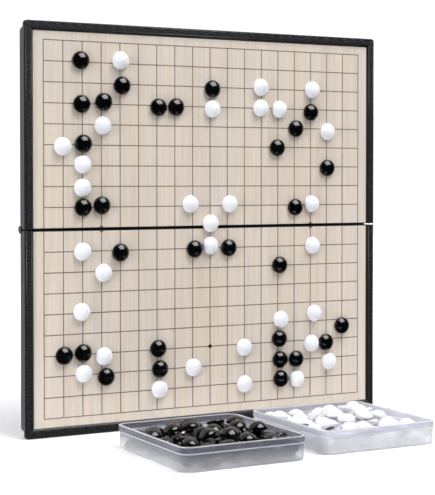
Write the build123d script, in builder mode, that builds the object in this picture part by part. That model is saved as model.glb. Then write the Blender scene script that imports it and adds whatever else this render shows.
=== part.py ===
from build123d import *

import math
import os
import random

import numpy as np

# Magnetic folding go set: two moulded case halves hinged at their rear rims,
# each with a steel sheet and a printed playing face, magnetic stones on the
# board, and two open trays with the rest of the stones.
#
# Millimetres, +Z up. The board stands unfolded on its lower edge, its playing
# face towards -Y. The origin is on the surface, under the middle of the set.
# A depth is measured from the playing face towards the back of the board.

# Board and case halves
board_width = 287.8
half_height = 142.8
seam_gap = 1.2
rim_width = 6.6
rim_lip = 1.2
rim_slope = 1.1
rim_chamfer = 0.6
rim_corner = 2.5
seam_lip = 0.5
flange_back = 1.8
floor_thickness = 1.4
case_depth = 12.4
body_inset = 2.8
side_inset = 1.9
body_wall = 2.0
body_corner = 4.0
closed_gap = 0.3

# Playing face
sheet_thickness = 0.5
film_thickness = 0.25
ink_thickness = 0.06
sheet_clearance = 0.1
lines = 19
side_margin = 7.7
outer_margin = 6.2
seam_cell = 15.4
line_width = 0.7
star_radius = 1.4
star_lines = (3, 9, 15)

# Hinge
knuckle_radius = 2.7
knuckle_length = 7.0
knuckle_clearance = 0.4
knuckle_gap = 0.3
knuckles = 3
hinge_end_inset = 1.4
hinge_pin_radius = 1.0
hinge_pin_cap = 0.8
running_clearance = 0.05

# Clasps on the upper half and their catches on the lower half
clasp_spacing = 140.0
clasp_width = 12.0
clasp_pivot_inset = 2.2
clasp_pivot_height = 1.45
clasp_barrel_radius = 1.15
clasp_reach = 6.4
clasp_plate = 1.3
clasp_plate_lift = 0.4
clasp_lip = 1.2
clasp_lip_height = 2.25
clasp_pin_radius = 0.5
lug_width = 2.0
lug_gap = 0.25
catch_height = 0.75
catch_width = 0.9
catch_clearance = 0.3
guard_width = 2.0
guard_gap = 2.5

# Stones and their magnets
stone_spacing = 1.6
stone_height = 5.7
stone_edge = 1.0
stone_shoulder = 3.0
magnet_radius = 3.0
magnet_thickness = 1.5
magnet_clearance = 0.05
stone_seat_gap = 0.02

# Trays
tray_width = 90.5
tray_length = 99.0
tray_height = 15.8
tray_corner = 8.0
tray_wall = 1.2
tray_floor = 1.2
tray_band_height = 4.0
tray_band_step = 0.7
tray_edge = 1.5
guide_height = 6.0
guide_wall = 1.2
guide_leg = 14.0
guide_clearance = 0.6
guide_spacing = 112.0
# Middles of the trays, from the middle of the playing face
black_tray_place = (-55.6, -103.5)
white_tray_place = (50.8, -97.3)

# Heaps in the trays
heap_clearance = 0.15
heap_cell = 0.4
heap_tries = 150
black_heap = {
    "count": 80, "seed": 5, "tilt": 22, "upside_down": 0.1, "mound": (16.0, 10.0), "slope": 0.05,
}
white_heap = {
    "count": 80, "seed": 11, "tilt": 22, "upside_down": 0.2, "mound": (4.0, 20.0), "slope": 0.06,
}

# Stones on the board, as column and row counted from the upper left corner.
# They were put down by hand, so some lie beside their crossing.
upper_black_places = [
    (1.9, 0.92), (4.08, 2.07), (1.94, 3.02), (3.1, 2.89), (6.06, 3.08), (7.04, 3.05), (9.1, 2.09),
    (14.97, 3.14), (14.05, 4.01), (12.92, 5.02), (16, 6.06), (2.03, 4.93), (2, 8.01), (2.99, 7.92),
    (14.02, 8.11),
]
upper_white_places = [
    (4, 0.85), (3.04, 4.04), (9.1, 3.1), (11.94, 1.92), (11.92, 2.98), (13.05, 3.03), (15.06, 1.96),
    (16.02, 4.14), (0.95, 5.07), (1.99, 5.93), (1.98, 7.06), (7.84, 7.9), (10.11, 7.92), (8.99, 8.83),
    (15.02, 7.95),
]
lower_black_places = [
    (3.98, 10.1), (8.08, 10.03), (10.04, 10.01), (13.07, 10.98), (1, 15), (1.99, 14.93), (3.2, 16.16),
    (6.03, 14.94), (6.13, 15.97), (16.94, 14.33), (13.06, 14.83), (15.93, 15.17), (13.1, 15.92),
    (14.08, 15.95), (13.15, 16.93),
]
lower_white_places = [
    (1.97, 10.01), (3.07, 11.07), (8.98, 9.88), (15.08, 10), (1.92, 12.93), (3.09, 15.15), (2.02, 15.92),
    (6.1, 16.97), (8, 16.01), (10.95, 15.16), (10.97, 17.05), (13.14, 13.82), (15.2, 13.58),
    (15.03, 15.18), (16.13, 16.19), (14.12, 16.99),
]

# Sizes that follow from the values above
seam_z = half_height + seam_gap / 2
total_height = 2 * half_height + seam_gap
pocket_depth = film_thickness + sheet_thickness
floor_back = pocket_depth + floor_thickness
face_width = board_width - 2 * rim_width
face_height = half_height - rim_width - seam_lip
middle_line = (lines - 1) // 2
column_cell = (face_width - 2 * side_margin) / (lines - 1)
row_cell = (seam_z - rim_width - outer_margin - seam_cell) / ((lines - 1) / 2 - 1)
stone_radius = (min(column_cell, row_cell) - stone_spacing) / 2
body_width = board_width - 2 * side_inset
body_height = half_height - body_inset
hinge_depth = case_depth + closed_gap / 2
hinge_end = board_width / 2 - hinge_end_inset
knuckle_pitch = knuckle_length + knuckle_gap
hinge_length = knuckles * knuckle_pitch - knuckle_gap
inner_end = hinge_end - hinge_length
rear_reach = hinge_depth + knuckle_radius
front_reach = tray_length / 2 - min(black_tray_place[1], white_tray_place[1])
face_y = (front_reach - rear_reach) / 2
black_tray_middle = (black_tray_place[0], face_y + black_tray_place[1])
white_tray_middle = (white_tray_place[0], face_y + white_tray_place[1])
hinge_y = face_y + hinge_depth
pivot_depth = case_depth - clasp_pivot_inset
top_wall_z = total_height - body_inset
bottom_wall_z = body_inset
tray_inner_width = tray_width - 2 * (tray_band_step + tray_wall)
tray_inner_length = tray_length - 2 * (tray_band_step + tray_wall)
tray_inner_corner = tray_corner - tray_band_step - tray_wall
stone_depth = -(ink_thickness + stone_seat_gap)


def front_plane(depth):
    """Plane at a depth behind the playing face, facing the player."""
    return Plane(origin=(0, face_y + depth, 0), x_dir=(1, 0, 0), z_dir=(0, -1, 0))


def column_x(column):
    return (column - (lines - 1) / 2) * column_cell


def row_z(row):
    """Height of a row. The two cells beside the seam are a little taller."""
    above = (lines - 1) / 2 - row
    if abs(above) <= 1:
        return seam_z + above * seam_cell
    return seam_z + math.copysign(seam_cell + (abs(above) - 1) * row_cell, above)


# Case halves


def knuckle_start(side, index):
    """Lower X end of one knuckle, counted from the outer end of the board."""
    outer = hinge_end - index * knuckle_pitch
    return outer - knuckle_length if side > 0 else -outer


def case_half(outer_z, seam_edge_z, own_knuckles):
    """One moulded half: rimmed flange, floor, walls, tray guides and knuckles.

    Knuckles alternate from the ends of the board inwards. The last one on each
    side belongs to a barrel that closes the seam between the two hinges.
    """
    seam_up = seam_edge_z > outer_z
    towards_seam = 1 if seam_up else -1
    outer_row = 0 if seam_up else -1
    body_middle = (outer_z + towards_seam * body_inset + seam_edge_z) / 2
    recess_start = outer_z + towards_seam * rim_width
    recess_end = seam_edge_z + towards_seam * rim_width
    with BuildPart() as half:
        with BuildSketch(front_plane(-rim_lip)) as outline:
            with Locations((0, (outer_z + seam_edge_z) / 2)):
                Rectangle(board_width, half_height)
            fillet(outline.vertices().group_by(Axis.Y)[outer_row], rim_corner)
        extrude(amount=-(rim_lip + flange_back))
        front_edges = half.faces().sort_by(Axis.Y)[0].edges()
        chamfer([e for e in front_edges if abs(e.center().Z - seam_edge_z) > rim_corner / 2], rim_chamfer)

        # The raised rim is open towards the seam, where only a flat lip is left
        with BuildSketch(front_plane(-rim_lip)):
            with Locations((0, (recess_start + recess_end) / 2)):
                Rectangle(face_width, abs(recess_end - recess_start))
        extrude(amount=-rim_lip, mode=Mode.SUBTRACT)
        rim_edges = half.faces().sort_by(Axis.Y)[0].edges()
        inner = [e for e in rim_edges if abs(e.center().X) < board_width / 2 - rim_width / 2
                 and abs(e.center().Z - outer_z) > rim_width / 2
                 and abs(e.center().Z - seam_edge_z) > seam_lip]
        inner += [e for e in rim_edges if abs(abs(e.center().X) - face_width / 2) < rim_slope / 2
                  and e not in inner]
        chamfer(inner, rim_slope)

        with BuildSketch(front_plane(0)):
            with Locations((0, recess_start + towards_seam * face_height / 2)):
                Rectangle(face_width, face_height)
        extrude(amount=-pocket_depth, mode=Mode.SUBTRACT)

        with BuildSketch(front_plane(flange_back)) as body_outline:
            with Locations((0, body_middle)):
                Rectangle(body_width, body_height)
            fillet(body_outline.vertices().group_by(Axis.Y)[outer_row], body_corner)
        extrude(amount=-(case_depth - flange_back))
        with BuildSketch(front_plane(floor_back)) as hollow:
            with Locations((0, body_middle)):
                Rectangle(body_width - 2 * body_wall, body_height - 2 * body_wall)
            fillet(hollow.vertices(), body_corner - body_wall)
        extrude(amount=-(case_depth - floor_back), mode=Mode.SUBTRACT)

        # Corner guides that hold the two trays when the board is folded
        guide_width = tray_width + 2 * guide_clearance
        guide_length = tray_length + 2 * guide_clearance
        with BuildSketch(front_plane(floor_back)):
            with Locations((-guide_spacing / 2, body_middle), (guide_spacing / 2, body_middle)):
                Rectangle(guide_width + 2 * guide_wall, guide_length + 2 * guide_wall)
                Rectangle(guide_width, guide_length, mode=Mode.SUBTRACT)
                Rectangle(guide_width - 2 * guide_leg, guide_length + 4 * guide_wall, mode=Mode.SUBTRACT)
                Rectangle(guide_width + 4 * guide_wall, guide_length - 2 * guide_leg, mode=Mode.SUBTRACT)
        extrude(amount=-guide_height)

        # Room for the other half's knuckles, then this half's own
        for side in (-1, 1):
            for index in range(knuckles):
                start = knuckle_start(side, index)
                own = index in own_knuckles
                spread = 0 if own else knuckle_gap
                with BuildSketch(Plane.YZ.offset(start - spread)):
                    with Locations((hinge_y, seam_z)):
                        Circle(knuckle_radius + (0 if own else knuckle_clearance))
                extrude(amount=knuckle_length + 2 * spread, mode=Mode.ADD if own else Mode.SUBTRACT)
        has_barrel = knuckles - 1 in own_knuckles
        with BuildSketch(Plane.YZ.offset(-inner_end)):
            with Locations((hinge_y, seam_z)):
                Circle(knuckle_radius + (0 if has_barrel else knuckle_clearance))
        extrude(amount=2 * inner_end, mode=Mode.ADD if has_barrel else Mode.SUBTRACT)

        # Bores for the pins. A slot in the back of the barrel lets each pin in.
        bore_radius = hinge_pin_radius + running_clearance
        for side in (-1, 1):
            bore_start = inner_end if side > 0 else -(hinge_end - hinge_pin_cap)
            with BuildSketch(Plane.YZ.offset(bore_start)):
                with Locations((hinge_y, seam_z)):
                    Circle(bore_radius)
            extrude(amount=hinge_length - hinge_pin_cap, mode=Mode.SUBTRACT)
            slot_start = inner_end - hinge_length if side > 0 else -inner_end
            with BuildSketch(Plane.YZ.offset(slot_start)):
                with Locations((hinge_y, seam_z)):
                    Circle(bore_radius)
                with Locations((hinge_y + knuckle_radius / 2, seam_z)):
                    Rectangle(knuckle_radius, 2 * bore_radius)
            extrude(amount=hinge_length, mode=Mode.SUBTRACT)
    return half


with BuildPart() as lower_case:
    add(case_half(0, half_height, own_knuckles=(0, 2)).part)

    # Catch ridges, with guards beside them that are also the rear feet
    for side in (-1, 1):
        middle = side * clasp_spacing / 2
        lip_start = clasp_reach - clasp_lip - clasp_pivot_inset - closed_gap
        ridge_back = case_depth - lip_start + catch_clearance + catch_width
        with BuildSketch(Plane.YZ.offset(middle - clasp_width / 2)):
            with Locations((face_y + ridge_back - catch_width / 2, bottom_wall_z - catch_height / 2)):
                Rectangle(catch_width, catch_height)
        extrude(amount=clasp_width)
        for beside in (-1, 1):
            guard_middle = middle + beside * (clasp_width / 2 + guard_gap + guard_width / 2)
            with BuildSketch(Plane.XY):
                with Locations((guard_middle, face_y + (flange_back + case_depth) / 2)):
                    Rectangle(guard_width, case_depth - flange_back)
            extrude(amount=bottom_wall_z)
lower_case.part.label = "lower_case"

with BuildPart() as upper_case:
    add(case_half(total_height, seam_z + seam_gap / 2, own_knuckles=(1,)).part)

    # Lugs that carry the clasps
    for side in (-1, 1):
        for beside in (-1, 1):
            inner_face = clasp_width / 2 + lug_gap
            lug_middle = side * clasp_spacing / 2 + beside * (inner_face + lug_width / 2)
            with BuildSketch(Plane.YZ.offset(lug_middle - lug_width / 2)):
                with Locations((face_y + pivot_depth, top_wall_z + clasp_pivot_height)):
                    Circle(clasp_barrel_radius)
                with Locations((face_y + pivot_depth, top_wall_z + clasp_pivot_height / 2)):
                    Rectangle(2 * clasp_barrel_radius, clasp_pivot_height)
                with Locations((face_y + pivot_depth, top_wall_z + clasp_pivot_height)):
                    Circle(clasp_pin_radius + running_clearance, mode=Mode.SUBTRACT)
            extrude(amount=lug_width)
upper_case.part.label = "upper_case"


# Playing faces


def face_slab(front_depth, thickness, outer_z, towards_seam, margin):
    """Flat sheet that fills one half's pocket, less a margin on every side."""
    middle_z = outer_z + towards_seam * (rim_width + face_height / 2)
    with BuildPart() as slab:
        with BuildSketch(front_plane(front_depth)):
            with Locations((0, middle_z)):
                Rectangle(face_width - 2 * margin, face_height - 2 * margin)
        extrude(amount=-thickness)
    return slab


def grid_print(rows, outer_row, seam_edge_z, towards_seam):
    """Printed lines and star points of one half, as one thin lattice."""
    line_end = seam_edge_z - towards_seam * (seam_lip + sheet_clearance)
    line_start = row_z(outer_row) - towards_seam * line_width / 2
    star_columns = [column_x(c) for c in star_lines]
    with BuildPart() as lattice:
        with BuildSketch(front_plane(-ink_thickness)):
            with Locations(*[(column_x(c), (line_start + line_end) / 2) for c in range(lines)]):
                Rectangle(line_width, abs(line_end - line_start))
            with Locations(*[(0, row_z(r)) for r in rows]):
                Rectangle((lines - 1) * column_cell + line_width, line_width)
            for row in star_lines:
                # The middle row of star points is printed on both halves, cut off at the seam
                star_z = line_end if row == middle_line else row_z(row)
                with Locations(*[(x, star_z) for x in star_columns]):
                    Circle(star_radius)
            beyond = line_end + towards_seam * half_height / 2
            with Locations((0, beyond)):
                Rectangle(board_width, half_height, mode=Mode.SUBTRACT)
            with Locations((0, beyond + towards_seam * half_height)):
                Rectangle(board_width, 2 * half_height, mode=Mode.SUBTRACT)
        extrude(amount=-ink_thickness)
    return lattice


lower_steel_sheet = face_slab(film_thickness, sheet_thickness, 0, 1, sheet_clearance)
lower_steel_sheet.part.label = "lower_steel_sheet"
upper_steel_sheet = face_slab(film_thickness, sheet_thickness, total_height, -1, sheet_clearance)
upper_steel_sheet.part.label = "upper_steel_sheet"
lower_playing_face = face_slab(0, film_thickness, 0, 1, sheet_clearance)
lower_playing_face.part.label = "lower_playing_face"
upper_playing_face = face_slab(0, film_thickness, total_height, -1, sheet_clearance)
upper_playing_face.part.label = "upper_playing_face"

lower_grid_print = grid_print(range(middle_line + 1, lines), lines - 1, half_height, 1)
lower_grid_print.part.label = "lower_grid_print"
upper_grid_print = grid_print(range(middle_line), 0, seam_z + seam_gap / 2, -1)
upper_grid_print.part.label = "upper_grid_print"


# Hinge pins and clasps


def rod(start_x, y, z, radius, length):
    """Round pin along +X."""
    with BuildPart() as pin:
        with BuildSketch(Plane.YZ.offset(start_x)):
            with Locations((y, z)):
                Circle(radius)
        extrude(amount=length)
    return pin


pin_length = hinge_length - hinge_pin_cap - 2 * running_clearance
pin_outer = hinge_end - hinge_pin_cap - running_clearance
hinge_pin_left = rod(-pin_outer, hinge_y, seam_z, hinge_pin_radius, pin_length)
hinge_pin_left.part.label = "hinge_pin_left"
hinge_pin_right = rod(pin_outer - pin_length, hinge_y, seam_z, hinge_pin_radius, pin_length)
hinge_pin_right.part.label = "hinge_pin_right"


def clasp(middle_x):
    """Flip clasp, lying open on the top wall with its lip towards the front."""
    pivot_y = face_y + pivot_depth
    pivot_z = top_wall_z + clasp_pivot_height
    plate_z = top_wall_z + clasp_plate_lift
    with BuildPart() as flap:
        with BuildSketch(Plane.YZ.offset(middle_x - clasp_width / 2)):
            with Locations((pivot_y, pivot_z)):
                Circle(clasp_barrel_radius)
            with Locations((pivot_y - clasp_reach / 2, plate_z + clasp_plate / 2)):
                Rectangle(clasp_reach, clasp_plate)
            with Locations((pivot_y - clasp_reach + clasp_lip / 2, plate_z + clasp_lip_height / 2)):
                Rectangle(clasp_lip, clasp_lip_height)
            with Locations((pivot_y, pivot_z)):
                Circle(clasp_pin_radius + running_clearance, mode=Mode.SUBTRACT)
        extrude(amount=clasp_width)
    return flap


def clasp_pin(middle_x):
    length = clasp_width + 2 * (lug_gap + lug_width)
    pivot_z = top_wall_z + clasp_pivot_height
    return rod(middle_x - length / 2, face_y + pivot_depth, pivot_z, clasp_pin_radius, length)


clasp_left = clasp(-clasp_spacing / 2)
clasp_left.part.label = "clasp_left"
clasp_right = clasp(clasp_spacing / 2)
clasp_right.part.label = "clasp_right"
clasp_pin_left = clasp_pin(-clasp_spacing / 2)
clasp_pin_left.part.label = "clasp_pin_left"
clasp_pin_right = clasp_pin(clasp_spacing / 2)
clasp_pin_right.part.label = "clasp_pin_right"


# Stones

# One stone at the origin, flat side down: a rounded lower edge, a shoulder that
# runs into the dome, and a pocket for the magnet.
dome_rise = stone_height - stone_edge
shoulder_middle = stone_radius - stone_shoulder
dome_radius = shoulder_middle ** 2 + dome_rise ** 2 - stone_shoulder ** 2
dome_radius /= 2 * (dome_rise - stone_shoulder)
shoulder_turn = math.degrees(math.acos(shoulder_middle / (dome_radius - stone_shoulder)))
with BuildPart() as one_stone:
    with BuildSketch(Plane.XZ):
        with BuildLine():
            flat = Line((0, 0), (stone_radius - stone_edge, 0))
            edge = JernArc(flat @ 1, (1, 0), stone_edge, 90)
            shoulder = JernArc(edge @ 1, (0, 1), stone_shoulder, shoulder_turn)
            dome = JernArc(shoulder @ 1, shoulder % 1, dome_radius, 90 - shoulder_turn)
            Line(dome @ 1, flat @ 0)
        make_face()
    revolve(axis=Axis.Z)
    with BuildSketch(Plane.XY):
        Circle(magnet_radius + magnet_clearance)
    extrude(amount=magnet_thickness, mode=Mode.SUBTRACT)

with BuildPart() as one_magnet:
    with BuildSketch(Plane.XY):
        Circle(magnet_radius)
    extrude(amount=magnet_thickness)


def copies(piece, locations):
    """One part with a copy of a piece at each location, as separate solids."""
    with BuildPart() as group:
        with Locations(*locations):
            add(piece.part)
    return group


def board_locations(places):
    """Where stones lie on the playing face, domes towards the player."""
    spots = front_plane(stone_depth)
    return [spots.location * Location((column_x(c), row_z(r), 0)) for c, r in places]


upper_black_stones = copies(one_stone, board_locations(upper_black_places))
upper_black_stones.part.label = "upper_black_stones"
upper_black_magnets = copies(one_magnet, board_locations(upper_black_places))
upper_black_magnets.part.label = "upper_black_magnets"
upper_white_stones = copies(one_stone, board_locations(upper_white_places))
upper_white_stones.part.label = "upper_white_stones"
upper_white_magnets = copies(one_magnet, board_locations(upper_white_places))
upper_white_magnets.part.label = "upper_white_magnets"
lower_black_stones = copies(one_stone, board_locations(lower_black_places))
lower_black_stones.part.label = "lower_black_stones"
lower_black_magnets = copies(one_magnet, board_locations(lower_black_places))
lower_black_magnets.part.label = "lower_black_magnets"
lower_white_stones = copies(one_stone, board_locations(lower_white_places))
lower_white_stones.part.label = "lower_white_stones"
lower_white_magnets = copies(one_magnet, board_locations(lower_white_places))
lower_white_magnets.part.label = "lower_white_magnets"


# Trays


def tray(place):
    """Open tray with a thicker band round its mouth."""
    with BuildPart() as box:
        with BuildSketch(Plane.XY):
            with Locations(place):
                RectangleRounded(
                    tray_width - 2 * tray_band_step,
                    tray_length - 2 * tray_band_step,
                    tray_corner - tray_band_step,
                )
        extrude(amount=tray_height)
        fillet(box.faces().sort_by(Axis.Z)[0].edges(), tray_edge)
        with BuildSketch(Plane.XY.offset(tray_height - tray_band_height)):
            with Locations(place):
                RectangleRounded(tray_width, tray_length, tray_corner)
        extrude(amount=tray_band_height)
        with BuildSketch(Plane.XY.offset(tray_floor)):
            with Locations(place):
                RectangleRounded(tray_inner_width, tray_inner_length, tray_inner_corner)
        extrude(amount=tray_height - tray_floor, mode=Mode.SUBTRACT)
    return box


black_tray = tray(black_tray_middle)
black_tray.part.label = "black_tray"
white_tray = tray(white_tray_middle)
white_tray.part.label = "white_tray"


# Heaps. The tray is a map of cells that holds the height of what lies in it.
# Each stone is tried at many places, let down from above onto the map, and
# stays where its middle comes lowest, so that no two stones touch.

heap_reach = math.ceil(math.hypot(stone_radius, stone_height / 2) / heap_cell) + 1
heap_steps = np.arange(-heap_reach, heap_reach + 1) * heap_cell
step_x, step_y = np.meshgrid(heap_steps, heap_steps, indexing="ij")


def stone_axes(tilt, heading, upside_down):
    """Rows are a stone's own X, Y and Z directions, Z towards its dome."""
    lean = math.radians(tilt)
    turn = math.radians(heading)
    up = np.array([math.sin(lean) * math.cos(turn), math.sin(lean) * math.sin(turn), math.cos(lean)])
    if upside_down:
        up = -up
    side = np.array([-math.sin(turn), math.cos(turn), 0.0])
    return np.array([side, np.cross(up, side), up])


def stone_span(axes):
    """Lowest and highest point of a stone over each cell, from its middle.

    The stone is taken as the part of an ellipsoid above its flat side, both
    grown by the clearance, and each cell as an upright line through it.
    """
    radius = stone_radius + heap_clearance
    dome = stone_height - stone_edge + heap_clearance
    along = axes[:, 0, None, None] * step_x + axes[:, 1, None, None] * step_y
    rise = axes[:, 2]
    centre = along[2] + stone_height / 2 - stone_edge
    square = (rise[0] ** 2 + rise[1] ** 2) / radius ** 2 + rise[2] ** 2 / dome ** 2
    linear = (along[0] * rise[0] + along[1] * rise[1]) / radius ** 2 + centre * rise[2] / dome ** 2
    constant = (along[0] ** 2 + along[1] ** 2) / radius ** 2 + centre ** 2 / dome ** 2 - 1
    inside = linear ** 2 - square * constant
    half_chord = np.sqrt(np.clip(inside, 0, None))
    low = (-linear - half_chord) / square
    high = (-linear + half_chord) / square
    flat_side = -(along[2] + stone_height / 2 + heap_clearance) / rise[2]
    if rise[2] > 0:
        low = np.maximum(low, flat_side)
    else:
        high = np.minimum(high, flat_side)
    return low, high, (inside > 0) & (high > low)


def heap_locations(place, count, seed, tilt, upside_down, mound, slope):
    """Places of the stones in one tray, heaped up towards the mound."""
    draw = random.Random(seed)
    across = int(tray_inner_width / heap_cell)
    along = int(tray_inner_length / heap_cell)
    xs = (np.arange(across) - (across - 1) / 2) * heap_cell
    ys = (np.arange(along) - (along - 1) / 2) * heap_cell
    corner_x = np.clip(np.abs(xs)[:, None] - tray_inner_width / 2 + tray_inner_corner, 0, None)
    corner_y = np.clip(np.abs(ys)[None, :] - tray_inner_length / 2 + tray_inner_corner, 0, None)
    surface = np.full((across + 2 * heap_reach, along + 2 * heap_reach), np.inf)
    in_tray = surface[heap_reach:-heap_reach, heap_reach:-heap_reach]
    in_tray[np.hypot(corner_x, corner_y) < tray_inner_corner] = tray_floor
    size = 2 * heap_reach + 1
    locations = []
    while len(locations) < count:
        best_cost = math.inf
        turned = draw.random() < upside_down
        for _ in range(heap_tries):
            axes = stone_axes(abs(draw.gauss(0, tilt)), draw.uniform(0, 360), turned)
            low, high, covered = stone_span(axes)
            i = draw.randrange(across)
            j = draw.randrange(along)
            under = surface[i:i + size, j:j + size]
            z = np.max((under - low)[covered])
            cost = z + slope * math.dist((xs[i], ys[j]), mound)
            if cost < best_cost:
                best_cost = cost
                best = (xs[i], ys[j], z, axes, under, high, covered)
        x, y, z, axes, under, high, covered = best
        under[covered] = np.maximum(under[covered], z + high[covered])
        flat_side = np.array([place[0] + x, place[1] + y, z]) - axes[2] * stone_height / 2
        spot = Plane(origin=tuple(flat_side), x_dir=tuple(axes[0]), z_dir=tuple(axes[2]))
        locations.append(spot.location)
    return locations


black_heap_locations = heap_locations(black_tray_middle, **black_heap)
black_tray_stones = copies(one_stone, black_heap_locations)
black_tray_stones.part.label = "black_tray_stones"
black_tray_magnets = copies(one_magnet, black_heap_locations)
black_tray_magnets.part.label = "black_tray_magnets"

white_heap_locations = heap_locations(white_tray_middle, **white_heap)
white_tray_stones = copies(one_stone, white_heap_locations)
white_tray_stones.part.label = "white_tray_stones"
white_tray_magnets = copies(one_magnet, white_heap_locations)
white_tray_magnets.part.label = "white_tray_magnets"

pieces = [
    lower_case, upper_case, lower_steel_sheet, upper_steel_sheet, lower_playing_face,
    upper_playing_face, lower_grid_print, upper_grid_print, hinge_pin_left, hinge_pin_right,
    clasp_left, clasp_right, clasp_pin_left, clasp_pin_right, upper_black_stones,
    upper_black_magnets, upper_white_stones, upper_white_magnets, lower_black_stones,
    lower_black_magnets, lower_white_stones, lower_white_magnets, black_tray, white_tray,
    black_tray_stones, black_tray_magnets, white_tray_stones, white_tray_magnets,
]
os.makedirs("parts", exist_ok=True)
for piece in pieces:
    export_step(piece.part, f"parts/{piece.part.label}.step")
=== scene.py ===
"""Finish of a magnetic folding go set: case, rim relief, playing face, stones, trays and studio.

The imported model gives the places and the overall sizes. Each group of pieces
has its own operator, and main calls them in order.
"""

import math

import bmesh
import bpy
from bpy.props import FloatProperty, FloatVectorProperty, IntProperty, PointerProperty
from mathutils import Matrix, Vector


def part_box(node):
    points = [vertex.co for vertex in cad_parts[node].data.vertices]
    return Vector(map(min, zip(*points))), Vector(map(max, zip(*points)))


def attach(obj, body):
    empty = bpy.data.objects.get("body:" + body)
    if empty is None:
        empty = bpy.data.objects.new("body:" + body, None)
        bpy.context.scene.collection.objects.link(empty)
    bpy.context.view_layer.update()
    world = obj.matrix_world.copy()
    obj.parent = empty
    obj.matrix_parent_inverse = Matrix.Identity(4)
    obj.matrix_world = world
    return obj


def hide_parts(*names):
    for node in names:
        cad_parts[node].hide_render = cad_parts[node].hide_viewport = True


bl_info = {
    "name": "Magnetic folding go set",
    "version": (1, 0, 0),
    "blender": (4, 5, 0),
    "location": "3D View > Sidebar > Go set",
    "description": "Builds the finish of a magnetic folding go set around its packed model",
    "category": "Object",
}

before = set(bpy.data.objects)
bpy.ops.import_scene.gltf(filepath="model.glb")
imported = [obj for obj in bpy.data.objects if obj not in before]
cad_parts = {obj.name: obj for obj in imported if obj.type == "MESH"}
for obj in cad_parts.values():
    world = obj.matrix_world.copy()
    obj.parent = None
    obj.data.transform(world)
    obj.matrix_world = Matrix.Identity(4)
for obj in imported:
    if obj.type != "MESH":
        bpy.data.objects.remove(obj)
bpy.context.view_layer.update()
MM = 0.001

# Case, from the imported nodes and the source's named sizes
CASE_LOW, CASE_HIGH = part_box("lower_case")
TOP_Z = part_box("upper_case")[1].z
SEAM_Z = TOP_Z / 2
SEAM_GAP = 1.2 * MM
FIELD_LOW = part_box("lower_playing_face")[0]
FACE_Y = FIELD_LOW.y
RIM_CHAMFER = 0.6 * MM
RIM_SLOPE = 1.1 * MM
FIELD_MARGIN = 0.1 * MM
RIM_WIDTH = FIELD_LOW.x - CASE_LOW.x - FIELD_MARGIN
TRAY_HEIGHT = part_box("black_tray")[1].z

# Edges past these angles are left sharp
SHARP_EDGE = math.radians(40)
SHARP_STONE_EDGE = math.radians(60)

# One key of the fret, as shares of its pitch along the rim and of its half height across it
FRET_KEY = ((0.0, -1.0), (0.0, 1.0), (0.72, 1.0), (0.72, -0.35), (0.34, -0.35), (0.34, 0.3))
# How far a corner's mitre rib reaches outwards, as a share of its reach inwards
MITRE_REACH = 0.8

# Printed lines: the star points lie six lines apart, and the rows at the seam are wider
CELL = 14.4 * MM
SEAM_CELL = 15.4 * MM
STAR_COLUMN = 6 * CELL
STAR_ROW = SEAM_CELL + 5 * CELL
STAR_REACH = 1.5 * MM

# Stones, with the rings that draw each rounding of their outline
STONE_RADIUS = 6.4 * MM
STONE_HEIGHT = 5.7 * MM
MAGNET_RADIUS = 3.05 * MM
MAGNET_DEPTH = 1.5 * MM
BOARD_STONE_RINGS = 4
HEAP_STONE_RINGS = 3
SPIN_WELD = 0.002 * MM
STONE_GROUPS = ("upper_black_stones", "upper_white_stones", "lower_black_stones", "lower_white_stones")
TRAY_GROUPS = ("black_tray_stones", "white_tray_stones")

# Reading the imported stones: how near doubles lie, how deep a flat side may be, and how many digits of
# their normals faces of one side share
PACKED_WELD = 0.01 * MM
FLAT_DEPTH = 0.05 * MM
NORMAL_DIGITS = 2

# Photograph: its size and the centre of its perspective, in pixels
PHOTO_WIDTH = 435
PHOTO_HEIGHT = 495
CENTRE_X = 217.9
CENTRE_Y = 214.8

# Camera: the sensor in its usual millimetres, and the nearest distance that it sees in metres
SENSOR_WIDTH = 36.0
CLIP_START = 0.01

# Floor, in metres: its paper glows least within PAPER_NEAR of the set's middle and most past PAPER_FAR
FLOOR_PLACE = (0.0, 1.77, -0.2 * MM)
FLOOR_HALF_SIZE = 2.0
FLOOR_CELLS = 8
PAPER_NEAR = 0.25
PAPER_FAR = 0.8

# Softboxes, in metres
KEY_PLACE = (0.3, -0.62, 1.4)
KEY_SIZE = (1.1, 1.1)
GLOSS_PLACE = (0.28, -0.57, 1.31)
GLOSS_SIZE = (1.35, 1.1)
LEFT_PLACE = (-1.6, -0.55, 0.45)
RIGHT_PLACE = (1.3, -1.1, 0.5)
FILL_SIZE = (0.5, 0.9)

# Surround: the Y share of a direction at which the dark front ends, and at which the back is fully lit
SURROUND_DARK_END = 0.02
SURROUND_FULL_LIGHT = 0.3


# Small helpers


def linear(hex_colour):
    """An sRGB hex colour as the linear values that a shader takes, opaque."""
    values = [int(hex_colour[i:i + 2], 16) / 255 for i in (1, 3, 5)]
    return [v / 12.92 if v <= 0.04045 else ((v + 0.055) / 1.055) ** 2.4 for v in values] + [1.0]


def per_metre(millimetres):
    """Texture scale that gives features of a size in millimetres."""
    return 1.0 / (millimetres * MM)


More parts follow.
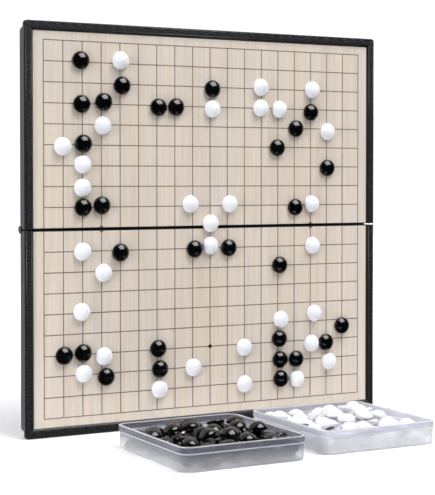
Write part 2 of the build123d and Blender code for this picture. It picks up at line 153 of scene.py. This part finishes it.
def add_node(owner, kind, inputs=None, feeds=None, stops=(), **settings):
    """One node with its settings, input values or links, ramp stops and the socket that it feeds."""
    tree = owner.node_tree
    node = tree.nodes.new(kind)
    for name, value in settings.items():
        setattr(node, name, value)
    for name, value in (inputs or {}).items():
        if isinstance(value, bpy.types.NodeSocket):
            tree.links.new(value, node.inputs[name])
        else:
            node.inputs[name].default_value = value
    while stops and len(node.color_ramp.elements) < len(stops):
        node.color_ramp.elements.new(0.5)
    for index, (position, colour) in enumerate(stops):
        stop = node.color_ramp.elements[index]
        stop.position = position
        stop.color = linear(colour) if isinstance(colour, str) else (*colour, 1.0)
    if feeds:
        tree.links.new(node.outputs[0], feeds)
    return node


def new_material(name, **shader_values):
    """A material with only its output, its main shader and its object coordinates in metres."""
    material = bpy.data.materials.new(name)
    material.use_nodes = True
    material.node_tree.nodes.clear()
    shader = add_node(material, "ShaderNodeBsdfPrincipled")
    for socket, value in shader_values.items():
        shader.inputs[socket.replace("_", " ")].default_value = value
    add_node(material, "ShaderNodeOutputMaterial", {"Surface": shader.outputs[0]})
    place = add_node(material, "ShaderNodeTexCoord").outputs["Object"]
    return material, shader, place


def write_mesh(bm, name):
    """Writes the bmesh to a new mesh and frees it."""
    mesh = bpy.data.meshes.new(name)
    bm.to_mesh(mesh)
    bm.free()
    return mesh


def write_outward_mesh(bm, name, sharp=SHARP_EDGE):
    """Writes the bmesh with its faces turned outwards and edges past the angle left sharp."""
    bmesh.ops.recalc_face_normals(bm, faces=bm.faces)
    for edge in bm.edges:
        edge.smooth = not (edge.is_manifold and edge.calc_face_angle(0) > sharp)
    return write_mesh(bm, name)


def add_object(name, data):
    """Links a new object to the scene."""
    item = bpy.data.objects.new(name, data)
    bpy.context.scene.collection.objects.link(item)
    return item


def finish_piece(name, mesh, material, body, slot, *replaced):
    """Makes the mesh an object of the part that rides on its body."""
    for polygon in mesh.polygons:
        polygon.use_smooth = True
    piece = add_object(name, mesh)
    piece.data.materials.append(material)
    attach(piece, body)
    if replaced:
        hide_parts(*replaced)


def dress(node_name, material):
    """Gives a carried-over CAD node its finish."""
    if node_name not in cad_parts:
        raise KeyError(f"the packed model has no node {node_name}")
    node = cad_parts[node_name]
    node.data.materials.clear()
    node.data.materials.append(material)


# Materials


def moulded_abs(name, colour, roughness):
    """ABS, injection moulded in a spark-eroded satin tool."""
    # Near black with a soft wide sheen. The tool's grain of 0.05 mm is drawn 1.1 mm wide to show.
    material, shader, place = new_material(name, Roughness=roughness, IOR=1.54, Specular_IOR_Level=0.32)
    grain = add_node(material, "ShaderNodeTexNoise",
                     {"Vector": place, "Scale": per_metre(1.1), "Detail": 3.0})
    cloud = add_node(material, "ShaderNodeTexNoise",
                     {"Vector": place, "Scale": per_metre(29), "Detail": 2.0})
    add_node(material, "ShaderNodeValToRGB", {"Fac": cloud.outputs["Fac"]}, shader.inputs["Base Color"],
             stops=((0.3, colour), (0.8, "#212125")))
    add_node(material, "ShaderNodeBump",
             {"Height": grain.outputs["Fac"], "Distance": 0.12 * MM, "Strength": 0.4},
             shader.inputs["Normal"])
    return material


def printed_wood_film(name):
    """Polyester film, printed with pale wood and laid over the steel."""
    # Upright wood grain in planks a little unlike each other, with a semi-matt sheen. The finest fibres
    # are drawn 0.67 mm wide so that they show, and small scales along Z draw each pattern out upright.
    material, shader, place = new_material(name, Roughness=0.42, IOR=1.5)
    upright = add_node(material, "ShaderNodeMapping", {"Vector": place, "Scale": (1.0, 0.01, 0.04)})
    drawn_out = add_node(material, "ShaderNodeMapping", {"Vector": place, "Scale": (1.0, 0.01, 0.02)})
    planks = add_node(material, "ShaderNodeTexNoise",
                      {"Vector": upright.outputs[0], "Scale": per_metre(13.3), "Detail": 0.0})
    grain = add_node(material, "ShaderNodeTexNoise",
                     {"Vector": upright.outputs[0], "Scale": per_metre(2.4), "Detail": 4.0,
                      "Roughness": 0.6})
    fibres = add_node(material, "ShaderNodeTexNoise",
                      {"Vector": drawn_out.outputs[0], "Scale": per_metre(0.67), "Detail": 2.0})
    base = add_node(material, "ShaderNodeValToRGB", {"Fac": planks.outputs["Fac"]},
                    stops=((0.3, "#D8C8BA"), (0.4, "#D9CCBA"), (0.47, "#DACDC3"), (0.54, "#D4CCC0"),
                           (0.62, "#DDCFC3"), (0.72, "#DDD0BE")))
    streaks = add_node(material, "ShaderNodeValToRGB", {"Fac": grain.outputs["Fac"]},
                       stops=((0.3, "#CCBFB1"), (0.62, "#E1D8CD")))
    add_node(material, "ShaderNodeMixRGB",
             {"Fac": 0.4, "Color1": base.outputs[0], "Color2": streaks.outputs[0]},
             shader.inputs["Base Color"])
    add_node(material, "ShaderNodeBump",
             {"Height": fibres.outputs["Fac"], "Distance": 0.04 * MM, "Strength": 0.3},
             shader.inputs["Normal"])
    return material


def screen_print_ink(name, colour):
    """Solvent ink, screen-printed on the film."""
    # Thin brown-grey lines, a little broken by the grain under them, and full dark ink at the stars
    material, shader, place = new_material(name, Roughness=0.55, IOR=1.5)
    wear = add_node(material, "ShaderNodeTexNoise",
                    {"Vector": place, "Scale": per_metre(3.8), "Detail": 2.0})
    thin = add_node(material, "ShaderNodeValToRGB", {"Fac": wear.outputs["Fac"]},
                    stops=((0.35, colour), (0.7, "#857667")))
    # The face is folded halfway between the star points, so that one distance serves them all
    axes = add_node(material, "ShaderNodeSeparateXYZ", {"Vector": place})
    rise = add_node(material, "ShaderNodeMath", {0: axes.outputs["Z"], 1: SEAM_Z}, operation="SUBTRACT")
    across = add_node(material, "ShaderNodeMath", {0: axes.outputs["X"], 1: STAR_COLUMN / 2},
                      operation="PINGPONG")
    along = add_node(material, "ShaderNodeMath", {0: rise.outputs[0], 1: STAR_ROW / 2},
                     operation="PINGPONG")
    offset = add_node(material, "ShaderNodeCombineXYZ", {"X": across.outputs[0], "Z": along.outputs[0]})
    reach = add_node(material, "ShaderNodeVectorMath", {0: offset.outputs[0]}, operation="LENGTH")
    star = add_node(material, "ShaderNodeMath", {0: reach.outputs["Value"], 1: STAR_REACH},
                    operation="LESS_THAN")
    add_node(material, "ShaderNodeMixRGB",
             {"Fac": star.outputs[0], "Color1": thin.outputs[0], "Color2": linear("#0E0B09")},
             shader.inputs["Base Color"])
    return material


def drawn_steel(name, colour, roughness):
    """Plain steel, drawn to wire or rolled to sheet."""
    # Grey metal with fine lines along its length, drawn 0.4 mm wide so that they show
    material, shader, place = new_material(name, Metallic=1.0, Roughness=roughness)
    lengthways = add_node(material, "ShaderNodeMapping", {"Vector": place, "Scale": (0.05, 1.0, 1.0)})
    draw_lines = add_node(material, "ShaderNodeTexNoise",
                          {"Vector": lengthways.outputs[0], "Scale": per_metre(0.4), "Detail": 2.0})
    add_node(material, "ShaderNodeValToRGB", {"Fac": draw_lines.outputs["Fac"]},
             shader.inputs["Base Color"], stops=((0.3, colour), (0.7, "#D2D2D4")))
    add_node(material, "ShaderNodeBump",
             {"Height": draw_lines.outputs["Fac"], "Distance": 0.03 * MM, "Strength": 0.4},
             shader.inputs["Normal"])
    return material


def polished_plastic(name, colour, second_colour, roughness):
    """Acrylic stone, moulded and tumbled until it shines."""
    # Mirror-like gloss with the faint unevenness that tumbling leaves
    material, shader, place = new_material(name, Roughness=roughness, IOR=1.5)
    tint = add_node(material, "ShaderNodeTexNoise",
                    {"Vector": place, "Scale": per_metre(17), "Detail": 1.0})
    add_node(material, "ShaderNodeValToRGB", {"Fac": tint.outputs["Fac"]}, shader.inputs["Base Color"],
             stops=((0.35, colour), (0.65, second_colour)))
    ripple = add_node(material, "ShaderNodeTexNoise",
                      {"Vector": place, "Scale": per_metre(5.5), "Detail": 1.0})
    add_node(material, "ShaderNodeBump",
             {"Height": ripple.outputs["Fac"], "Distance": 0.05 * MM, "Strength": 0.25},
             shader.inputs["Normal"])
    return material


def sintered_ferrite(name):
    """Ferrite, pressed from powder and sintered."""
    # Dull charcoal. The powder's grain of 0.1 mm is drawn 0.7 mm wide, or it wouldn't show.
    material, shader, place = new_material(name, Roughness=0.6, IOR=1.6)
    powder = add_node(material, "ShaderNodeTexNoise",
                      {"Vector": place, "Scale": per_metre(0.7), "Detail": 3.0})
    add_node(material, "ShaderNodeValToRGB", {"Fac": powder.outputs["Fac"]}, shader.inputs["Base Color"],
             stops=((0.35, "#141416"), (0.7, "#232327")))
    add_node(material, "ShaderNodeBump",
             {"Height": powder.outputs["Fac"], "Distance": 0.06 * MM, "Strength": 0.5},
             shader.inputs["Normal"])
    return material


def frosted_polypropylene(name, clearness, painted_wall_shade, band):
    """Natural polypropylene, thinly moulded with a frosted outside."""
    # Milky and see-through. The wall and the band at its mouth are painted greyer, as painted shade of
    # the stones behind them, and the ledge and the top edge are painted paler and less clear, as painted
    # highlights. The frost of 0.03 mm is drawn 2 mm wide, or it wouldn't show.
    material, shader, place = new_material(name, IOR=1.35)
    # Levels up the wall, as shares of its height
    foot, belly, wall_top = 0.07, 0.3, 0.68
    # The ledge's stops paint a pale, less clear line there, a painted highlight
    ledge_highlight_low, ledge_highlight_high = 0.71, 0.735
    band_low, band_high = 0.76, 0.96
    axes = add_node(material, "ShaderNodeSeparateXYZ", {"Vector": place})
    level = add_node(material, "ShaderNodeMapRange",
                     {"Value": axes.outputs["Z"], "From Max": TRAY_HEIGHT})
    # Colour up the wall: painted shade on the wall and the band, painted highlights at the ledge and the
    # top
    add_node(material, "ShaderNodeValToRGB", {"Fac": level.outputs[0]}, shader.inputs["Base Color"],
             stops=((0.0, "#F9F9FC"), (foot, "#F8F8FC"), (belly, "#F4F4F9"), (wall_top, painted_wall_shade),
                    (ledge_highlight_low, "#ECEDF3"), (ledge_highlight_high, "#ECEDF3"), (band_low, band), (band_high, band),
                    (1.0, "#F0F1F6")))
    # Less clear at the foot, the ledge and the top, which paints them paler
    clear = add_node(material, "ShaderNodeValToRGB", {"Fac": level.outputs[0]},
                     stops=((0.0, "#B8B8B8"), (foot, "#EBEBEB"), (wall_top, "#EBEBEB"),
                            (ledge_highlight_low, "#B4B4B4"), (ledge_highlight_high, "#B4B4B4"), (band_low, "#EEEEEE"),
                            (band_high, "#EEEEEE"), (1.0, "#BBBBBB")))
    add_node(material, "ShaderNodeMath", {0: clear.outputs[0], 1: clearness},
             shader.inputs["Transmission Weight"], operation="MULTIPLY")
    frost = add_node(material, "ShaderNodeTexNoise",
                     {"Vector": place, "Scale": per_metre(2.0), "Detail": 2.0})
    add_node(material, "ShaderNodeMapRange",
             {"Value": frost.outputs["Fac"], "To Min": 0.2, "To Max": 0.28}, shader.inputs["Roughness"])
    add_node(material, "ShaderNodeBump",
             {"Height": frost.outputs["Fac"], "Distance": 0.08 * MM, "Strength": 0.35},
             shader.inputs["Normal"])
    return material


def studio_paper(name, near_glow):
    """Coated studio paper, which glows more the farther it lies from the set's middle."""
    # Flat white with a trace of cloudiness
    material, shader, place = new_material(name, Roughness=0.7, IOR=1.45,
                                           Emission_Color=linear("#FFFFFF"))
    reach = add_node(material, "ShaderNodeVectorMath", {0: place}, operation="LENGTH")
    add_node(material, "ShaderNodeMapRange",
             {"Value": reach.outputs["Value"], "From Min": PAPER_NEAR, "From Max": PAPER_FAR,
              "To Min": near_glow, "To Max": 1.0},
             shader.inputs["Emission Strength"])
    cloud = add_node(material, "ShaderNodeTexNoise", {"Vector": place, "Scale": per_metre(25)})
    add_node(material, "ShaderNodeValToRGB", {"Fac": cloud.outputs["Fac"]}, shader.inputs["Base Color"],
             stops=((0.3, "#F4F4F5"), (0.7, "#F8F8F9")))
    return material


def studio_surround(name, front, back):
    """Surround that lights from behind, is dark in front for the gloss, and looks white all round."""
    world = bpy.data.worlds.new(name)
    world.use_nodes = True
    background = world.node_tree.nodes["Background"]
    background.inputs["Color"].default_value = linear("#FBFBFD")
    place = add_node(world, "ShaderNodeTexCoord")
    axes = add_node(world, "ShaderNodeSeparateXYZ", {"Vector": place.outputs["Generated"]})
    shade = add_node(world, "ShaderNodeMapRange",
                     {"Value": axes.outputs["Y"], "From Min": SURROUND_DARK_END,
                      "From Max": SURROUND_FULL_LIGHT, "To Min": front, "To Max": back})
    light_path = add_node(world, "ShaderNodeLightPath")
    seen = add_node(world, "ShaderNodeMath", {0: light_path.outputs["Is Camera Ray"], 1: back},
                    operation="MULTIPLY")
    add_node(world, "ShaderNodeMath", {0: shade.outputs[0], 1: seen.outputs[0]},
             background.inputs["Strength"], operation="MAXIMUM")
    return world


# Rim relief


def add_rib(bm, settings, start, end):
    """One raised rib on the rim, from start to end in X and Z."""
    run = end - start
    middle = (start + end) / 2
    turn = Matrix.Rotation(-math.atan2(run.y, run.x), 4, "Y")
    # Half of the rib's thickness sinks into the rim, and the other half is its relief
    size = (run.length + settings.fret_line, settings.fret_relief * 2, settings.fret_line, 1.0)
    place = Matrix.Translation((middle.x, CASE_LOW.y, middle.y)) @ turn @ Matrix.Diagonal(size)
    bmesh.ops.create_cube(bm, size=1.0, matrix=place)


def add_fret(bm, settings, start, end):
    """A run of plain key fret between two border lines."""
    run = end - start
    along = run.normalized()
    across = Vector((-along.y, along.x))
    keys = max(1, int((run.length - settings.band) / settings.fret_pitch))
    pitch = (run.length - settings.band) / keys
    half = settings.fret_height / 2
    for index in range(keys):
        base = start + along * (settings.band / 2 + index * pitch)
        points = [base + along * (share * pitch) + across * (rise * half) for share, rise in FRET_KEY]
        for first, second in zip(points, points[1:]):
            add_rib(bm, settings, first, second)
    for side in (-1, 1):
        shift = across * side * (settings.band / 2 - settings.fret_line)
        add_rib(bm, settings, start + along * settings.band / 2 + shift, end + shift)


# Stones


def joined_verts(first):
    """The vertices that edges join to the first, itself included."""
    joined = {first}
    to_visit = [first]
    while to_visit:
        vert = to_visit.pop()
        for edge in vert.link_edges:
            other = edge.other_vert(vert)
            if other not in joined:
                joined.add(other)
                to_visit.append(other)
    return joined


def stone_seat(stone):
    """Place of one packed stone: its flat side's middle, Z towards the dome."""
    # Most of the surface faces the flat side's way. The faces are summed in their own order, so that each
    # run gives the same sum.
    areas = {}
    faces = {face for vert in stone for face in vert.link_faces}
    for face in sorted(faces, key=lambda face: face.index):
        key = tuple(round(value, NORMAL_DIGITS) for value in face.normal)
        area, total = areas.get(key, (0.0, Vector()))
        areas[key] = (area + face.calc_area(), total + face.normal * face.calc_area())
    out = max(areas.values(), key=lambda entry: entry[0])[1].normalized()
    reach = max(vert.co.dot(out) for vert in stone)
    flat = [vert.co for vert in stone if vert.co.dot(out) > reach - FLAT_DEPTH]
    low = Vector([min(co[i] for co in flat) for i in range(3)])
    high = Vector([max(co[i] for co in flat) for i in range(3)])
    turn = (-out).to_track_quat("Z", "X").to_matrix().to_4x4()
    return Matrix.Translation((low + high) / 2) @ turn


def stone_seats(node_name):
    """Place of each stone of a CAD group, in the group's order."""
    bm = bmesh.new()
    bm.from_mesh(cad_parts[node_name].data)
    bmesh.ops.remove_doubles(bm, verts=bm.verts, dist=PACKED_WELD)
    bm.verts.index_update()
    bm.faces.index_update()
    waiting = set(bm.verts)
    seats = []
    while waiting:
        stone = joined_verts(min(waiting, key=lambda vert: vert.index))
        waiting -= stone
        seats.append(stone_seat(stone))
    bm.free()
    if not seats:
        raise RuntimeError(f"{node_name} holds no stones")
    return seats


def stone_profile(settings, rings):
    """Half outline of a stone with its magnet pocket, from the pocket to the top."""
    radius, height, edge = settings.radius, settings.height, settings.edge
    outline = [(0.0, MAGNET_DEPTH), (MAGNET_RADIUS, MAGNET_DEPTH), (MAGNET_RADIUS, 0.0),
               (radius - edge, 0.0)]
    for step in range(1, rings):
        angle = math.pi / 2 * step / (rings - 1)
        outline.append((radius - edge + edge * math.sin(angle), edge - edge * math.cos(angle)))
    # The shoulder's arc runs into the dome's arc without a corner
    shoulder = settings.shoulder
    middle = radius - shoulder
    rise = height - edge
    dome = (middle ** 2 + rise ** 2 - shoulder ** 2) / (2 * (rise - shoulder))
    turn = math.acos(middle / (dome - shoulder))
    for step in range(1, rings + 1):
        angle = turn * step / rings
        outline.append((middle + shoulder * math.cos(angle), edge + shoulder * math.sin(angle)))
    for step in range(1, rings + 1):
        angle = turn + (math.pi / 2 - turn) * step / rings
        outline.append((dome * math.cos(angle), height - dome + dome * math.sin(angle)))
    return outline


def one_stone(settings, segments, rings):
    """Spins the mesh of one stone, flat side down at the origin."""
    bm = bmesh.new()
    verts = [bm.verts.new((x, 0.0, z)) for x, z in stone_profile(settings, rings)]
    edges = [bm.edges.new(pair) for pair in zip(verts, verts[1:])]
    bmesh.ops.spin(bm, geom=verts + edges, cent=(0, 0, 0), axis=(0, 0, 1), angle=math.tau,
                   steps=segments, use_merge=True, use_duplicate=False)
    bmesh.ops.remove_doubles(bm, verts=bm.verts, dist=SPIN_WELD)
    return write_outward_mesh(bm, "stone_pattern", SHARP_STONE_EDGE)


def add_stones(name, seats, pattern, material, body, slot, replaced):
    """Puts a copy of the pattern stone at every seat, all in one mesh."""
    bm = bmesh.new()
    for seat in seats:
        stone = pattern.copy()
        stone.transform(seat)
        bm.from_mesh(stone)
        bpy.data.meshes.remove(stone)
    finish_piece(name, write_mesh(bm, name), material, body, slot, replaced)


# Studio


def add_floor(material):
    """The pale sheet that the set stands on, which gloss doesn't mirror."""
    bm = bmesh.new()
    bmesh.ops.create_grid(bm, x_segments=FLOOR_CELLS, y_segments=FLOOR_CELLS, size=FLOOR_HALF_SIZE,
                          matrix=Matrix.Translation(FLOOR_PLACE))
    floor = add_object("studio_floor", write_mesh(bm, "studio_floor"))
    floor.data.materials.append(material)
    floor.visible_glossy = False


def add_softbox(name, place, aim, size, power, mirrored=False):
    """A rectangular studio light that lights the surfaces, or else only shows in their gloss."""
    light = bpy.data.lights.new(name, "AREA")
    light.shape = "RECTANGLE"
    light.size, light.size_y = size
    light.energy = power
    lamp = add_object(name, light)
    lamp.location = place
    lamp.rotation_euler = (aim - Vector(place)).to_track_quat("-Z", "Y").to_euler()
    lamp.visible_glossy = mirrored
    lamp.visible_diffuse = not mirrored


def add_camera(settings, aim):
    """The photograph's camera, with its lens shift from the centre of the perspective."""
    optics = bpy.data.cameras.new("photograph_camera")
    optics.sensor_width = SENSOR_WIDTH
    optics.lens = settings.focal_pixels * SENSOR_WIDTH / PHOTO_HEIGHT
    optics.shift_x = (PHOTO_WIDTH / 2 - CENTRE_X) / PHOTO_HEIGHT
    optics.shift_y = (CENTRE_Y - PHOTO_HEIGHT / 2) / PHOTO_HEIGHT
    optics.clip_start = CLIP_START
    camera = add_object("photograph_camera", optics)
    camera.location = aim + Vector(settings.offset)
    camera.rotation_euler = (math.pi / 2 - settings.dip, 0.0, -settings.heading)
    return camera


# Settings


class GoSetColours(bpy.types.PropertyGroup):
    """Colours of the case, the print and the stones"""

    case: FloatVectorProperty(name="Case", description="Colour of the moulded case",
                              default=linear("#18181B")[:3], subtype="COLOR", min=0.0, max=1.0)
    ink: FloatVectorProperty(name="Lines", description="Colour of the printed lines",
                             default=linear("#6E6053")[:3], subtype="COLOR", min=0.0, max=1.0)
    black: FloatVectorProperty(name="Black stones", description="Colour of the black stones",
                               default=linear("#020203")[:3], subtype="COLOR", min=0.0, max=1.0)
    white: FloatVectorProperty(name="White stones", description="Colour of the white stones",
                               default=linear("#EEEFF6")[:3], subtype="COLOR", min=0.0, max=1.0)


class GoSetStones(bpy.types.PropertyGroup):
    """Sizes of a stone and how finely it is drawn"""

    radius: FloatProperty(name="Radius", description="Radius of a stone", default=STONE_RADIUS,
                          subtype="DISTANCE", unit="LENGTH")
    height: FloatProperty(name="Height", description="Flat side to dome", default=STONE_HEIGHT,
                          subtype="DISTANCE", unit="LENGTH")
    edge: FloatProperty(name="Edge radius", description="Rounding of the lower edge", default=1.0 * MM,
                        subtype="DISTANCE", unit="LENGTH")
    shoulder: FloatProperty(name="Shoulder radius", description="Rounding between side and dome",
                            default=3.0 * MM, subtype="DISTANCE", unit="LENGTH")
    board_segments: IntProperty(name="Board stone sides", description="Sides of a stone on the board",
                                default=36, min=12)
    heap_segments: IntProperty(name="Heap stone sides", description="Sides of a stone in a tray",
                               default=16, min=8)


class GoSetRim(bpy.types.PropertyGroup):
    """Sizes of the fret relief on the rim"""

    fret_pitch: FloatProperty(name="Fret pitch", description="Length of one key of the fret",
                              default=8.0 * MM, subtype="DISTANCE", unit="LENGTH")
    fret_height: FloatProperty(name="Fret height", description="Height of the fret across the rim",
                               default=2.8 * MM, subtype="DISTANCE", unit="LENGTH")
    fret_relief: FloatProperty(name="Fret relief", description="How far the fret stands proud",
                               default=0.22 * MM, subtype="DISTANCE", unit="LENGTH")
    fret_line: FloatProperty(name="Fret line", description="Width of the fret's ribs",
                             default=0.5 * MM, subtype="DISTANCE", unit="LENGTH")
    band: FloatProperty(name="Flat band", description="Width of the rim's flat top",
                        default=RIM_WIDTH - RIM_CHAMFER - RIM_SLOPE, subtype="DISTANCE", unit="LENGTH")


class GoSetStudio(bpy.types.PropertyGroup):
    """Camera, lights and surround of the photograph"""

    focal_pixels: FloatProperty(name="Focal length", description="Focal length in photograph pixels",
                                default=1413.0)
    heading: FloatProperty(name="Heading", description="Camera heading from +Y towards +X",
                           default=math.radians(28.53), subtype="ANGLE")
    dip: FloatProperty(name="Dip", description="Camera pitch below level",
                       default=math.radians(1.52), subtype="ANGLE")
    offset: FloatVectorProperty(name="Camera offset", description="Camera from the middle of the seam",
                                default=(-0.4877, -0.9091, 0.0362), subtype="XYZ")
    key_power: FloatProperty(name="Key power", description="Power of the overhead softbox",
                             default=26.4, unit="POWER")
    gloss_power: FloatProperty(name="Gloss power", description="Power of the softbox that gloss mirrors",
                               default=38.0, unit="POWER")
    left_power: FloatProperty(name="Left power", description="Power of the left softbox",
                              default=14.0, unit="POWER")
    right_power: FloatProperty(name="Right power", description="Power of the right softbox",
                               default=1.0, unit="POWER")
    floor_glow: FloatProperty(name="Floor glow", description="Light that the paper gives near the board",
                              default=0.12)
    surround_front: FloatProperty(name="Front surround", description="Brightness behind the camera",
                                  default=0.03)
    surround_back: FloatProperty(name="Back surround", description="Brightness behind the board",
                                 default=1.15)


# Operators


class GoSetOperator(bpy.types.Operator):
    """Shared base of the go set's operators"""

    bl_options = {"REGISTER"}


class GOSET_OT_stage(GoSetOperator):
    """Sets the pale floor, the studio lights and the camera"""

    bl_idname = "goset.stage"
    bl_label = "Studio"

    def execute(self, context):
        scene = context.scene
        settings = scene.goset_studio
        if settings.focal_pixels <= 0:
            raise ValueError("the focal length must be more than nothing")
        add_floor(studio_paper("coated_studio_paper", settings.floor_glow))
        scene.world = studio_surround("studio_surround", settings.surround_front, settings.surround_back)
        seam = Vector((0.0, FACE_Y, SEAM_Z))
        add_softbox("key_softbox", KEY_PLACE, seam, KEY_SIZE, settings.key_power)
        add_softbox("gloss_softbox", GLOSS_PLACE, seam, GLOSS_SIZE, settings.gloss_power, mirrored=True)
        add_softbox("left_fill", LEFT_PLACE, seam, FILL_SIZE, settings.left_power)
        add_softbox("right_fill", RIGHT_PLACE, seam, FILL_SIZE, settings.right_power)
        scene.camera = add_camera(settings, seam)
        scene.view_settings.view_transform = "Standard"
        return {"FINISHED"}


class GOSET_OT_case(GoSetOperator):
    """Gives the case halves, clasps, pins and steel sheets their finish"""

    bl_idname = "goset.case"
    bl_label = "Case and hardware"

    def execute(self, context):
        plastic = moulded_abs("moulded_black_abs", context.scene.goset_colours.case, roughness=0.45)
        for node_name in ("lower_case", "upper_case", "clasp_left", "clasp_right"):
            dress(node_name, plastic)
        wire = drawn_steel("drawn_steel_wire", "#8E8E92", roughness=0.3)
        for node_name in ("hinge_pin_left", "hinge_pin_right", "clasp_pin_left", "clasp_pin_right"):
            dress(node_name, wire)
        sheet = drawn_steel("rolled_tinplate", "#9C9CA0", roughness=0.35)
        for node_name in ("lower_steel_sheet", "upper_steel_sheet"):
            dress(node_name, sheet)
        return {"FINISHED"}


class GOSET_OT_rim(GoSetOperator):
    """Adds the moulded fret relief round the rim of each half"""

    bl_idname = "goset.rim"
    bl_label = "Rim relief"

    def execute(self, context):
        settings = context.scene.goset_rim
        if settings.fret_height + 2 * settings.fret_line > settings.band:
            raise ValueError("the fret and its border lines don't fit on the rim's flat band")
        # The relief is the case's own black plastic, painted lighter than the case as a painted highlight
        # on its ribs
        plastic = moulded_abs("moulded_black_abs_relief_painted_highlight", linear("#2C2C30")[:3], roughness=0.32)
        inset = RIM_CHAMFER + settings.band / 2
        side_x = CASE_HIGH.x - inset
        for name, body, outer_z, inward in (
            ("lower_rim_relief", "lower_half", 0.0, 1),
            ("upper_rim_relief", "upper_half", TOP_Z, -1),
        ):
            band_z = outer_z + inward * inset
            seam_end = SEAM_Z - inward * SEAM_GAP / 2
            bm = bmesh.new()
            add_fret(bm, settings, Vector((-side_x, band_z)), Vector((side_x, band_z)))
            for side in (-1, 1):
                corner = Vector((side * side_x, band_z))
                add_fret(bm, settings, corner, Vector((side * side_x, seam_end)))
                mitre = Vector((side * settings.band / 2, -inward * settings.band / 2))
                add_rib(bm, settings, corner - mitre, corner + mitre * MITRE_REACH)
            finish_piece(name, write_outward_mesh(bm, name), plastic, body, "case_plastic")
        return {"FINISHED"}


class GOSET_OT_face(GoSetOperator):
    """Prints the playing face and its lines"""

    bl_idname = "goset.face"
    bl_label = "Playing face"

    def execute(self, context):
        film = printed_wood_film("printed_wood_film")
        ink = screen_print_ink("screen_print_ink", context.scene.goset_colours.ink)
        for half in ("lower", "upper"):
            dress(f"{half}_playing_face", film)
            dress(f"{half}_grid_print", ink)
        return {"FINISHED"}


class GOSET_OT_stones(GoSetOperator):
    """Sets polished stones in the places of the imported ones"""

    bl_idname = "goset.stones"
    bl_label = "Stones"

    def execute(self, context):
        settings = context.scene.goset_stones
        if settings.edge + settings.shoulder >= settings.height or settings.radius <= settings.shoulder:
            raise ValueError("the stone's roundings don't fit in its height and radius")
        colours = context.scene.goset_colours
        finishes = {
            "black": polished_plastic("polished_black_acrylic", colours.black, "#050506",
                                      roughness=0.12),
            "white": polished_plastic("polished_white_acrylic", colours.white, "#F5F6FB",
                                      roughness=0.14),
        }
        board_stone = one_stone(settings, settings.board_segments, BOARD_STONE_RINGS)
        heap_stone = one_stone(settings, settings.heap_segments, HEAP_STONE_RINGS)
        ferrite = sintered_ferrite("sintered_ferrite")
        for group in STONE_GROUPS + TRAY_GROUPS:
            colour = "black" if "black" in group else "white"
            on_board = group in STONE_GROUPS
            pattern = board_stone if on_board else heap_stone
            body = group if on_board else f"{colour}_tray"
            add_stones(f"{group}_polished", stone_seats(group), pattern, finishes[colour], body,
                       f"{colour}_stone", group)
            dress(group.replace("_stones", "_magnets"), ferrite)
        return {"FINISHED"}


class GOSET_OT_trays(GoSetOperator):
    """Gives the trays their frosted plastic"""

    bl_idname = "goset.trays"
    bl_label = "Trays"

    def execute(self, context):
        # The black tray's wall and band are painted greyer than the white tray's, as painted shade of the
        # black stones behind them
        dress("black_tray", frosted_polypropylene("frosted_polypropylene", clearness=1.0,
                                                  painted_wall_shade="#C0C3CE", band="#B0B3C0"))
        dress("white_tray", frosted_polypropylene("milky_frosted_polypropylene", clearness=0.7,
                                                  painted_wall_shade="#F8F8FC", band="#DEDFE8"))
        return {"FINISHED"}


class GOSET_PT_panel(bpy.types.Panel):
    """Lists the go set's operators and settings"""

    bl_idname = "GOSET_PT_panel"
    bl_label = "Go set"
    bl_space_type = "VIEW_3D"
    bl_region_type = "UI"
    bl_category = "Go set"

    def draw(self, context):
        for operator in OPERATORS:
            self.layout.operator(operator.bl_idname)
        for group_name, group in SETTINGS.items():
            for setting in group.__annotations__:
                self.layout.prop(getattr(context.scene, group_name), setting)


SETTINGS = {
    "goset_colours": GoSetColours,
    "goset_stones": GoSetStones,
    "goset_rim": GoSetRim,
    "goset_studio": GoSetStudio,
}
OPERATORS = (GOSET_OT_stage, GOSET_OT_case, GOSET_OT_rim, GOSET_OT_face, GOSET_OT_stones, GOSET_OT_trays)
CLASSES = tuple(SETTINGS.values()) + OPERATORS + (GOSET_PT_panel,)


def register():
    """Adds the classes, and their settings to the scene."""
    for item in CLASSES:
        bpy.utils.register_class(item)
    for name, group in SETTINGS.items():
        setattr(bpy.types.Scene, name, PointerProperty(type=group))


def unregister():
    """Takes the settings and the classes out again."""
    for name in SETTINGS:
        delattr(bpy.types.Scene, name)
    for item in reversed(CLASSES):
        bpy.utils.unregister_class(item)


def main():
    register()
    bpy.ops.goset.stage()
    bpy.ops.goset.case()
    bpy.ops.goset.rim()
    bpy.ops.goset.face()
    bpy.ops.goset.stones()
    bpy.ops.goset.trays()


if __name__ == "__main__":
    main()
